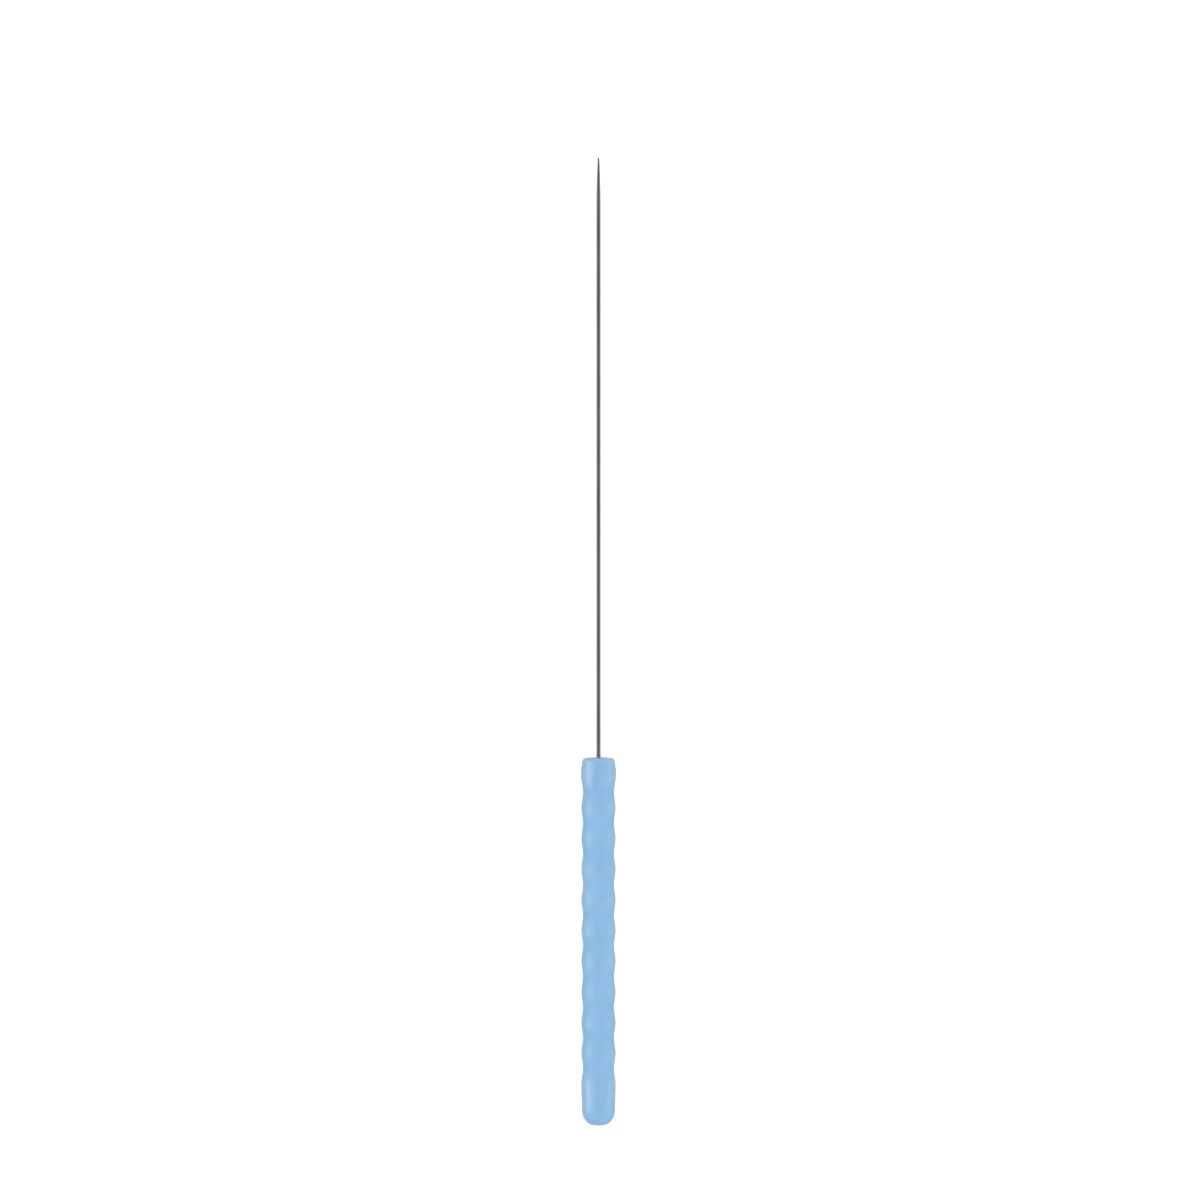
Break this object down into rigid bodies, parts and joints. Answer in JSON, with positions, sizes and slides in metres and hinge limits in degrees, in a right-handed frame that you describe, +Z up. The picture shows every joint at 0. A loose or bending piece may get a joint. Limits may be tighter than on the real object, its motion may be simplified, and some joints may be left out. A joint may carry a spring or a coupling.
{
  "type": "needle probe",
  "caption": "Straight ground steel needle set in a slim light blue plastic handle with wave-shaped grip rings and a smooth rounded butt.",
  "frame": {"origin": "on the surface that the handle's front collar rests on, below the middle of the probe's length", "axes": "+Y along the probe toward the needle's point, +Z up from the surface that the probe lies on"},
  "size_m": [0.0048, 0.133, 0.0048],
  "materials": {
    "wire": "satin",
    "grip": "gloss"
  },
  "bodies": {
    "root": {"needle": "wire", "handle": "grip"}
  },
  "joints": []
}
